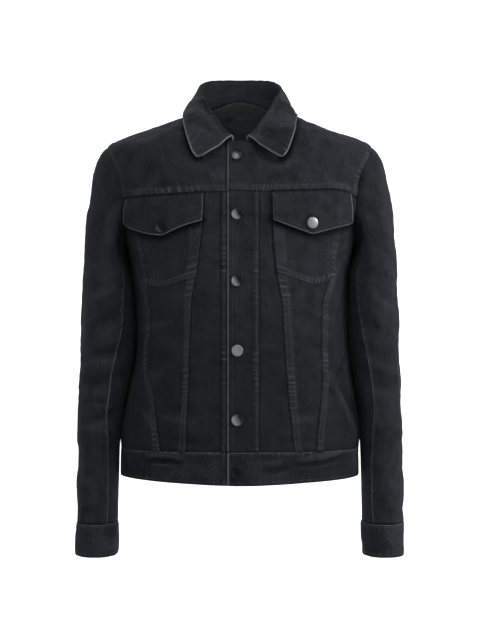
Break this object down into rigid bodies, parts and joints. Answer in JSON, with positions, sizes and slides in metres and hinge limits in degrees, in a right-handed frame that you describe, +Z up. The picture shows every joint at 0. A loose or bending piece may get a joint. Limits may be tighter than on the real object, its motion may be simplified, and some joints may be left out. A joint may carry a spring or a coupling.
{
  "type": "denim jacket",
  "caption": "Short fitted denim jacket, buttoned up: pointed collar, chest yokes, flapped patch pockets, slanting front seams, long sleeves with cuffs, and a waistband.",
  "frame": {"origin": "middle of the neck base, at the height of the shoulders' inner ends, where the wearer carries the jacket", "axes": "+Z up, the front faces -Y, +X to the wearer's left"},
  "size_m": [0.508, 0.2292, 0.7472],
  "materials": {
    "denim": "matt black-grey twill",
    "buttons": "dark gunmetal"
  },
  "bodies": {
    "root": {"front_band_left": "denim", "front_band_right": "denim", "front_centre_left": "denim", "front_centre_right": "denim", "front_mid_left": "denim", "front_mid_right": "denim", "front_side_left": "denim", "front_side_right": "denim", "front_yoke_left": "denim", "front_yoke_right": "denim", "pocket_left": "denim", "pocket_right": "denim", "pocket_flap_left": "denim", "pocket_flap_right": "denim", "back_side_left": "denim", "back_side_right": "denim", "sleeve_upper_left": "denim", "sleeve_upper_right": "denim", "sleeve_under_left": "denim", "sleeve_under_right": "denim", "cuff_left": "denim", "cuff_right": "denim", "back_centre": "denim", "back_yoke": "denim", "waistband": "denim", "collar": "denim", "front_button_1": "buttons", "front_button_2": "buttons", "front_button_3": "buttons", "front_button_4": "buttons", "front_button_5": "buttons", "front_button_6": "buttons", "flap_button_left": "buttons", "flap_button_right": "buttons"}
  },
  "joints": []
}
